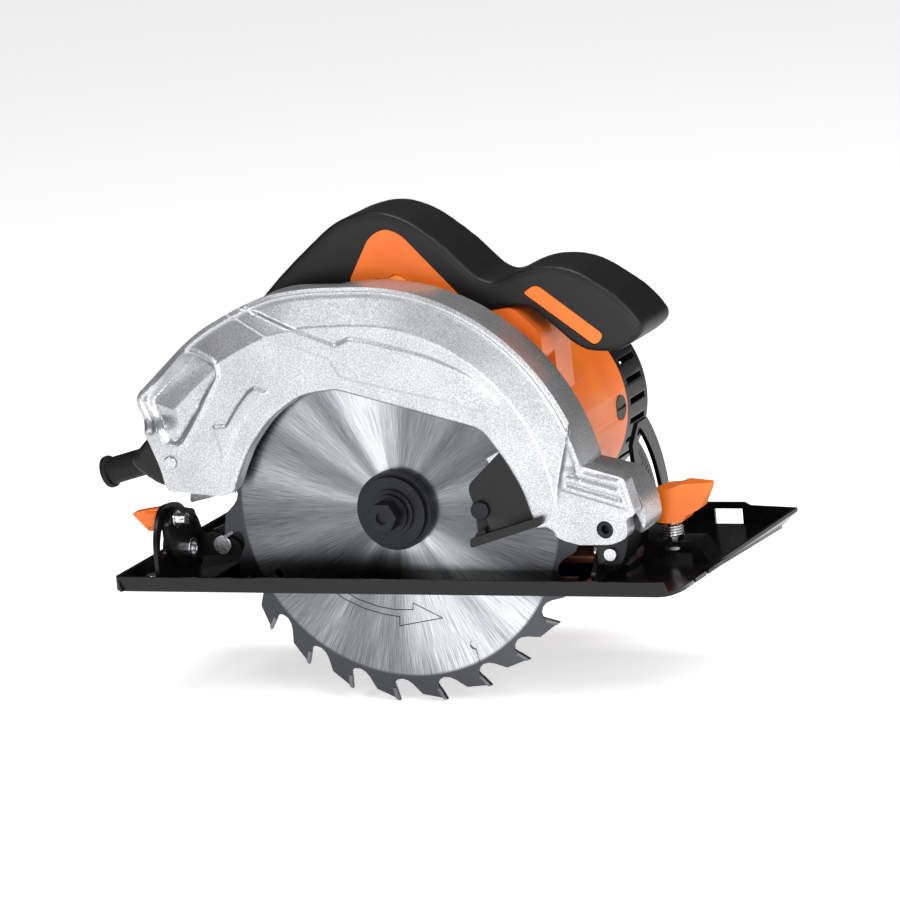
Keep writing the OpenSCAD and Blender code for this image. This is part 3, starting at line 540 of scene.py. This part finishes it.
GROOVES = [((92.6, 54.6), (115.4, 48.6)), ((92.4, 50.2), (117.2, 43.2))]
CONE_WIDTH = 17.2               # width of the sloping shoulder, across the rim
CONE_DROP = 6.6                 # how far the shoulder falls back at the rim, in Y
WALL_END = -7.4                 # where the near cover's side walls end, in Y
RIM_ROWS = (0.7, 1.4, 2.1, 2.9, 3.7, 4.5, 5.4)  # rows of points that follow the edge
PIVOT_BORE = 4.1
GRID_STEP = 0.8
REAR_TAIL = 22                  # points at the end of the outer edge that have no shoulder
WINDOW_TAIL = 6                 # points at the end of the window's edge that aren't rolled in


def guard_outer():
    """Outer edge of the near face, from the block over the top and round to the window's rear corner."""
    rear = soft([(-8.5, 141.1), (-31, 140.7, 9), (-48, 138.4, 8), (-63, 133.6, 9), (-90, 120.6, 14),
                 (-125, 89.5, 5), (-119, 74, 8), (-112.5, 57, 6), (-110.5, 46, 3), (-77, 43.3, 7), (-71, 56.5)])
    return arc(GUARD_R, 13.2, 92, 40, GUARD_C)[:-1] + rear


def guard_window():
    """Edge of the window over the blade, from its rear corner to the block."""
    return soft([(-71, 56.5), (-66, 66, 7), (-54, 80.5, 8), (-36.9, 91.5, 6), (-19, 94, 3), (51.6, 75.3, 5),
                 (62, 61, 6), (69.5, 47, 8), (74.5, 28, 3), (79.5, 29.5, 3), (86, 24, 5), (95.5, 21.6)])[1:]


def guard_block():
    """Edge of the block at the front, from below the window back up to the round rim."""
    return soft([(95.5, 22.2), (111, 21.6, 5), (119.6, 25.4, 4), (118.8, 33.6, 3), (123.9, 36.2, 2),
                 (119.9, 52.8, 2), (100.0, 58.2)])[1:-1]


def rise(value, low, high):
    """Smooth step from 0 at low to 1 at high."""
    t = np.clip((value - low) / (high - low), 0, 1)
    return t * t * (3 - 2 * t)


def guard_height(p):
    """Y of the near face at each point: the cone, the rim's bead, and what is cast on it or into it."""
    rim = arc(GUARD_R, -30, 12, 12, GUARD_C) + guard_outer()[:-REAR_TAIL]
    edge, _ = distance_to(p, rim, closed=False)
    # the cone fades out behind the scoop
    fade = rise(p[:, 1] - 0.2 * p[:, 0], 96, 104) + (p[:, 0] > 20)
    fade = np.clip(fade, 0, 1)
    cone = CONE_DROP * np.clip(1 - edge / CONE_WIDTH, 0, 1)
    # no cone on the block at the front
    cone *= 1 - rise(p[:, 0] - 0.25 * p[:, 1], 74, 77)
    bead = 1.9 * rise(-edge, -4.0, -2.4)
    y = GUARD_FACE + cone * fade - bead * fade * rise(-p[:, 0] + 0.25 * p[:, 1], -86, -84)
    # a plain rounded bead runs on down the rear edge
    y = y - 0.35 * np.exp(-((edge - 1.6) / 1.0) ** 4) * (1 - fade)
    # a raised strip that flattens towards its front end, and a raised arrow
    y -= 0.9 * rise(depth_inside(p, STRIP), -0.6, 0.6) * (1 - 0.6 * rise(p[:, 0], 20, 60))
    y -= 0.8 * rise(depth_inside(p, ARROW), -0.45, 0.45)
    signed = depth_inside(p, SCOOP)
    # the scoop has a raised edge, and its floor is deepest at the top and runs out at the bottom
    down = np.clip((0.55 * (p[:, 0] + 118) + 0.83 * (p[:, 1] - 68)) / 48, 0, 1)
    depth = 1.0 + 7.0 * down ** 1.3
    y += depth * rise(signed, -0.3, 2.2) - 0.7 * np.exp(-((signed + 1.2) / 0.9) ** 2)
    # front block: a raised panel with two long grooves
    y -= 1.0 * rise(depth_inside(p, PANEL), -0.5, 0.6)
    for a, b in GROOVES:
        d, _ = distance_to(p, [a, b], closed=False)
        y += 0.9 * (1 - rise(d, 0.4, 1.1))
    # the window's edge is rolled in
    d, _ = distance_to(p, [(-77, 43.3), (-71, 56.5)] + guard_window()[:-WINDOW_TAIL], closed=False)
    y += 1.0 * np.clip(1 - d / 1.4, 0, 1) ** 2
    return y


def guard_points(outline, hole):
    """Points inside the outline: rows along its edge for the bead, and a staggered grid for the rest."""
    low, high = np.min(outline, 0), np.max(outline, 0)
    grid = np.array([(x + (GRID_STEP / 2 if row % 2 else 0), z)
                     for row, z in enumerate(np.arange(low[1], high[1], GRID_STEP * 0.866))
                     for x in np.arange(low[0], high[0], GRID_STEP)])
    gap, inside = distance_to(grid, outline)
    grid = grid[inside & (gap > RIM_ROWS[-1] + 0.5) & (from_pivot(grid) > 4.8)]
    loop = np.array(outline)
    along = np.roll(loop, -1, 0) - np.roll(loop, 1, 0)
    inward = np.column_stack((-along[:, 1], along[:, 0])) / np.linalg.norm(along, axis=1)[:, None]
    rows = np.concatenate([loop + inward * offset for offset in RIM_ROWS])
    gap, inside = distance_to(rows, outline)
    # a row's point is dropped where another part of the edge is nearer
    rows = rows[inside & (gap > np.repeat(RIM_ROWS, len(loop)) - 0.06) & (from_pivot(rows) > 4.8)]
    return [Vector(p) for p in (*outline, *hole, *rows, *grid)]


def from_pivot(p):
    return np.hypot(p[:, 0] - PIVOT[0], p[:, 1] - PIVOT[1])


def guard_face(outline):
    """Mesh of the near face alone: the outline filled with triangles and set to the relief's height."""
    hole = arc(PIVOT_BORE, 0, 350, 35, PIVOT)
    count, ring = len(outline), len(hole)
    edges = [(i, (i + 1) % count) for i in range(count)]
    edges += [(count + i, count + (i + 1) % ring) for i in range(ring)]
    verts, _, faces, _, _, _ = delaunay_2d_cdt(guard_points(outline, hole), edges, [], 0, 1e-5)
    flat = np.array([tuple(v) for v in verts])
    middles = np.array([flat[list(f)].mean(0) for f in faces])
    _, keep = distance_to(middles, outline)
    keep &= from_pivot(middles) > PIVOT_BORE - 0.05
    mesh = bpy.data.meshes.new("guard_cover")
    mesh.from_pydata([(x * MM, y * MM, z * MM) for (x, z), y in zip(flat, guard_height(flat))], [],
                     [f for f, k in zip(faces, keep) if k])
    return mesh


def across_edge(vertex, rim):
    """Level direction square to the open edges that meet at a vertex."""
    total = Vector((0, 0, 0))
    for edge in vertex.link_edges:
        if edge in rim:
            side = (edge.verts[1].co - edge.verts[0].co).cross(Vector((0, 1, 0)))
            side.y = 0
            total += side.normalized()
    return total.normalized() if total.length > 0 else total


def guard_walls(mesh, outline):
    """Side walls in steps: a soft edge, the wall, then a groove where the far half meets it."""
    shape = bmesh.new()
    shape.from_mesh(mesh)
    if sum(f.normal.y for f in shape.faces) > 0:
        bmesh.ops.reverse_faces(shape, faces=shape.faces)
    rim = [e for e in shape.edges if e.is_boundary]
    for depth, inset in ((0.5, 0.0), (None, 0.0), (0.15, 0.9), (1.6, 0.0)):
        made = bmesh.ops.extrude_edge_only(shape, edges=rim)["geom"]
        verts = [g for g in made if isinstance(g, bmesh.types.BMVert)]
        rim = [g for g in made if isinstance(g, bmesh.types.BMEdge)]
        sideways = {v: across_edge(v, rim) for v in verts}
        for v in verts:
            v.co.y = WALL_END * MM if depth is None else v.co.y + depth * MM
            if inset:
                probe = np.array([[v.co.x / MM + sideways[v].x * 0.3, v.co.z / MM + sideways[v].z * 0.3]])
                _, inner = distance_to(probe, outline)
                v.co += sideways[v] * (1 if inner[0] else -1) * inset * MM
    bmesh.ops.recalc_face_normals(shape, faces=shape.faces)
    if sum(f.normal.y * f.calc_area() for f in shape.faces) > 0:
        bmesh.ops.reverse_faces(shape, faces=shape.faces)
    shape.to_mesh(mesh)
    shape.free()


def upper_guard():
    """Cast guard: a relief-modelled near cover over the CAD casting's far side."""
    outline = resample(guard_outer() + guard_window() + guard_block(), 1.0)
    mesh = guard_face(outline)
    cover = bpy.data.objects.new("guard_cover", mesh)
    bpy.context.scene.collection.objects.link(cover)
    edit(cover)
    bpy.ops.mesh.delete_loose()
    close_edit()
    guard_walls(mesh, outline)
    modify(cover, "SOLIDIFY", thickness=1.1 * MM, offset=-1)
    activate(cover)
    bpy.ops.object.shade_smooth_by_angle(angle=math.radians(48))
    give(cover, "saw_body", "cast_aluminium", "upper_guard")
    casting = copy_node("upper_guard", "guard_casting")
    edit(casting)
    bpy.ops.mesh.bisect(plane_co=(0, (WALL_END + 1.0) * MM, 0), plane_no=(0, -1, 0), use_fill=True,
                        clear_outer=True)
    close_edit(False)
    round_edges(casting, 0.5)
    give(casting, "saw_body", "cast_aluminium", "upper_guard")


# ---------------------------------------------------------------- handle

SLEEVE = (-142, 49)             # where the cord sleeve leaves the handle, in X and Z
SLEEVE_BORE = 6.7
SLEEVE_SLOPE = -15
SCREW_SPOTS = ((-108, 49), (112, 114))
HANDLE = soft([(-149, 51, 6), (-56, 143, 12), (-28, 166, 12), (-8, 170.5, 9), (8, 166, 8), (26, 153, 6),
               (46, 133.5, 9), (66, 143.5, 10), (88, 142.5, 10), (112, 127, 8), (123, 113, 6), (108, 102.5, 9),
               (90, 103, 8), (66, 124.5, 8), (54, 124.6, 4), (42, 122), (-22.7, 95.8), (-22.7, 56),
               (-96, 44, 12), (-130, 37, 10)])
LOOP = soft([(-42, 106, 9), (-26, 106, 8), (-26, 64, 8), (-84, 56, 9), (-101, 55, 8)])
BUTTON = (1.0, 134.0)
TRIGGER = (-52.0, 107.0)


def side_seat(gap):
    """Seat of the side panel, or the panel itself when it is smaller by a gap."""
    return soft([(-23 + gap, 138, 2), (-11, 158.5 - gap, 5), (-3, 162.5 - gap, 4), (5, 159.5 - gap, 4),
                 (35 - gap, 127, 3), (20, 117 + gap, 3), (-16 + gap, 110 + gap, 4)])


def front_seat(gap):
    """Seat of the front grip panel, or the panel itself when it is smaller by a gap."""
    return soft([(63 + gap, 131, 2), (70, 135.5 - gap, 4), (102 - gap, 111, 3), (97, 105.5 + gap, 3)])


def turned(points, degrees, centre):
    """Outline turned about its own origin and then moved to a centre."""
    a = math.radians(degrees)
    return [(centre[0] + x * math.cos(a) - z * math.sin(a), centre[1] + x * math.sin(a) + z * math.cos(a))
            for x, z in points]


def grip():
    """Looped handle: swollen, soft-edged mouldings that meet at a seam, with seats for the orange panels."""
    low, high = HANDLE_Y
    core = slab("grip", HANDLE, low - 0.3, high + 0.3)
    cut(core, slab("loop", LOOP, low - 9, high + 9))
    modify(core, "REMESH", mode="VOXEL", voxel_size=1.25 * MM)
    modify(core, "SMOOTH", factor=0.5, iterations=22)
    # the trigger's slot, the button's bore and the sleeve's
    slot_outline = turned([(-26, -16), (8, -16), (8, 9.4), (-26, 9.4)], 45, TRIGGER)
    sleeve = rod("sleeve_bore", SLEEVE_BORE, -22, 22, (0, 0), "X")
    sleeve.data.transform(Matrix.Translation(Vector((SLEEVE[0], SEAM, SLEEVE[1])) * MM)
                          @ Matrix.Rotation(math.radians(SLEEVE_SLOPE), 4, "Y"))
    tools = [slab("t", slot_outline, SEAM - 7.4, SEAM + 7.4), rod("t", 6.25, low - 9, high + 9, BUTTON), sleeve]
    for near, far in ((low - 5, low + 1.7), (high - 1.7, high + 5)):
        tools += [slab("t", side_seat(0), near, far), slab("t", front_seat(0), near, far)]
    for spot in SCREW_SPOTS:
        tools.append(rod("t", 3.6, high - 3.2, high + 5, spot, count=24))
    cut(core, join("tools", tools))
    for name, sign, node in (("grip_near_half", -1, "handle_near"), ("grip_far_half", 1, "handle_far")):
        half = bpy.data.objects.new(name, core.data.copy())
        bpy.context.scene.collection.objects.link(half)
        edit(half)
        bpy.ops.mesh.bisect(plane_co=(0, (SEAM + 0.13 * sign) * MM, 0), plane_no=(0, -sign, 0), use_fill=True,
                            clear_outer=True)
        bpy.ops.object.mode_set(mode="OBJECT")
        activate(half)
        bpy.ops.object.shade_smooth_by_angle(angle=math.radians(38))
        give(half, "saw_body", "soft_grip", node)
    bpy.data.objects.remove(core)


def grip_panels():
    """Orange inserts with rounded edges."""
    low, high = HANDLE_Y
    for name, seat, node in (("side_panel", side_seat, "side_panels"),
                             ("front_panel", front_seat, "front_grip_panels")):
        for side, near, far in (("near", low - 0.6, low + 1.6), ("far", high - 1.6, high + 0.6)):
            panel = slab(f"{name}_{side}", seat(0.35), near, far)
            if node == "side_panels":
                cut(panel, rod("t", 6.3, low - 9, high + 9, BUTTON))
                # a facet is pressed into the lower part
                facet = soft([(-19, 136, 2), (-7, 139, 2), (9, 126, 2), (19, 119, 2), (-14, 112, 3)])
                out, back = (near - 2, near + 0.9) if side == "near" else (far - 0.9, far + 2)
                cut(panel, slab("t", facet, out, back))
            round_edges(panel, 0.6, 3)
            give(panel, "saw_body", "orange_plastic", node)


def lock_off():
    """Round cross pin with domed ends."""
    low, high = HANDLE_Y
    dome = [(0, 3.4), (4.2, 3.4), (5.5, 2.6), (6.0, 1.2)]
    profile = [(r, low - out) for r, out in dome] + [(r, high + out) for r, out in reversed(dome)]
    button = lathe("lock_off_pin", profile, BUTTON)
    round_edges(button, 0)
    give(button, "lock_off", "orange_button", "lock_off_button")


# ---------------------------------------------------------------- smaller pieces

COIL_WIRE = 0.72
COIL_RADIUS = 4.15
COIL_PITCH = 1.28
COIL_TURNS = 4
COIL_LOW = 12.4


def fence_coil():
    """Compression spring under the fence knob, of wire 1.44 mm thick."""
    deselect()
    bpy.ops.mesh.primitive_circle_add(vertices=12, radius=COIL_WIRE * MM, fill_type="NGON",
                                      rotation=(math.radians(90), 0, 0))
    coil = bpy.context.object
    bpy.ops.object.transform_apply(location=True, rotation=True, scale=True)
    coil.data.transform(Matrix.Translation((COIL_RADIUS * MM, 0, 0)))
    modify(coil, "SCREW", angle=math.radians(360), screw_offset=COIL_PITCH * MM, iterations=COIL_TURNS, steps=36,
           render_steps=36, axis="Z", use_merge_vertices=True, merge_threshold=WELD)
    edit(coil)
    bpy.ops.mesh.remove_doubles(threshold=WELD)
    close_edit()
    coil.data.transform(Matrix.Translation(Vector((*FENCE, COIL_LOW)) * MM))
    coil.name = "fence_coil"
    round_edges(coil, 0, smooth=60)
    give(coil, "base", "zinc", "fence_spring")


def bar(name, start, end, width, low, high, axis="Y"):
    """Flat bar from start to end."""
    along = (end - start).normalized()
    side = Vector((-along.y, along.x)) * width / 2
    corners = [tuple(c) for c in (start + side, end + side, end - side, start - side)]
    return slab(name, corners, low, high, axis)


PRINT_WIDTH = 0.42
PRINT_Y = (-0.84, -0.78)        # the printed line, from just over the blade's face to just under it


def blade_print():
    """Outlined arrow printed on the blade, which shows the way that it turns."""
    # radius and angle about the arbor
    arrow = [(56, 212), (55.4, 221), (54.2, 233), (53, 245), (52.2, 256), (52, 264.8), (56.4, 264.8), (54.8, 288),
             (45.2, 273.4), (48.4, 272.7), (48.9, 262), (49.4, 252), (50.3, 240), (51.8, 226), (54, 212.4)]
    points = [Vector(ARBOR) + r * Vector((math.cos(math.radians(a)), math.sin(math.radians(a)))) for r, a in arrow]
    bars = []
    for start, end in zip(points, points[1:] + points[:1]):
        # each line runs on a little so that the corners close
        past = (end - start).normalized() * PRINT_WIDTH * 0.3
        bars.append(bar("bar", start - past, end + past, PRINT_WIDTH, *PRINT_Y))
    give(join("blade_arrow", bars), "spindle_set", "dark_steel")


TILT = (3.5, 14)                # axis of the bevel tilt, in Y and Z
TICK_X = (104.9, 105.15)        # from inside the quadrant's front face to just in front of it
TICK_TOP = 54.5
TICK_WIDTH = 0.5


def ticks():
    """Bevel scale: a line every three degrees on the front quadrant, with each third one longer."""
    bars = []
    for i, degrees in enumerate(range(20, 45, 3)):
        length = 3 if i % 3 else 5
        along = Vector((math.cos(math.radians(degrees)), math.sin(math.radians(degrees))))
        bars.append(bar("tick", Vector(TILT) + along * (TICK_TOP - length), Vector(TILT) + along * TICK_TOP,
                        TICK_WIDTH, *TICK_X, "X"))
    give(join("bevel_scale", bars), "base", "black_plastic")


# CAD nodes that get rounded edges, and how wide
ROUNDED = {
    "base_plate": 0.7, "front_quadrant": 0.35, "rear_quadrant": 0.4, "quadrant_rivets": 0.4, "bevel_pins": 0.5,
    "fence_screw": 0.4, "front_bracket": 0.6, "rear_bracket": 0.6, "depth_guide": 0.3, "bracket_screw": 0.5,
    "depth_pin": 0.5, "bevel_studs": 0.5, "gear_case": 1.2, "bearing_retainer": 0.3, "retainer_screws": 0.4,
    "motor_housing": 1.0, "motor_end_cap": 0.8, "end_cap_screws": 0.4, "brush_caps": 0.4, "cord_sleeve": 0.7,
    "depth_bolt": 0.4, "guard_screw": 0.6, "inner_flange": 0.4, "outer_flange": 0.6, "blade_bolt": 0.6,
    "guard_lever": 0.35, "lever_screw": 0.5, "trigger": 1.6, "spindle_lock": 0.6,
    "depth_lever": 1.0, "bevel_knob": 1.3, "bevel_nut": 0.9, "fence_knob": 1.3, "handle_screws": 0.3,
}

FINISH = make_finishes()
make_camera()
make_stage()
upper_guard()
grip()
grip_panels()
lock_off()
fence_coil()
ticks()
blade_print()
for node_name, width in ROUNDED.items():
    dressed(node_name, width)

for name, node in frame["nodes"].items():
    for entry in node.material_slots:
        entry.material = FINISH[NODE_SLOT[name]]
